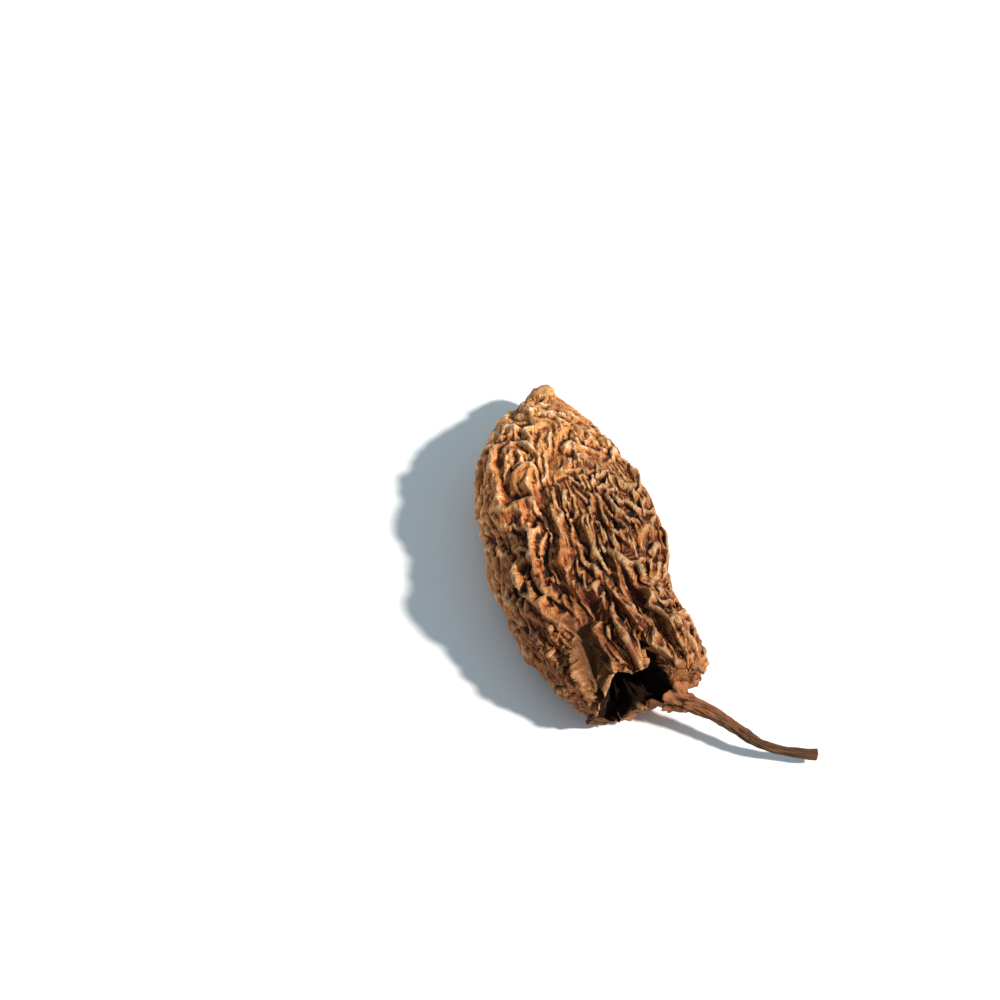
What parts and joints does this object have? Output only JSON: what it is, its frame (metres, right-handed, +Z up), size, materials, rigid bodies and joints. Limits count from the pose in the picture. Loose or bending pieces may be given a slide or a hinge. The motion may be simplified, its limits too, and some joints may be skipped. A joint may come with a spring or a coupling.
{
  "type": "chipotle pepper",
  "caption": "Dried, smoked chilli pod lying on its side: flattened, deeply wrinkled, blunt at the tip, with a torn hollow at the shoulder and a slim curved stem.",
  "frame": {"origin": "on the surface the pod lies on, at the middle of the flat spot under its belly, below the centre of mass", "axes": "+X along the pod from the blossom tip toward the stem, +Z up from the surface, +Y completes the right-handed set, toward the side the stem bends to"},
  "size_m": [0.0935, 0.0411, 0.0202],
  "materials": {
    "pod_skin": "dry, wrinkled, faintly satin on the creases",
    "stem_tissue": "dry, fibrous, matt"
  },
  "bodies": {
    "root": {"pod": "pod_skin", "stem": "stem_tissue"}
  },
  "joints": []
}
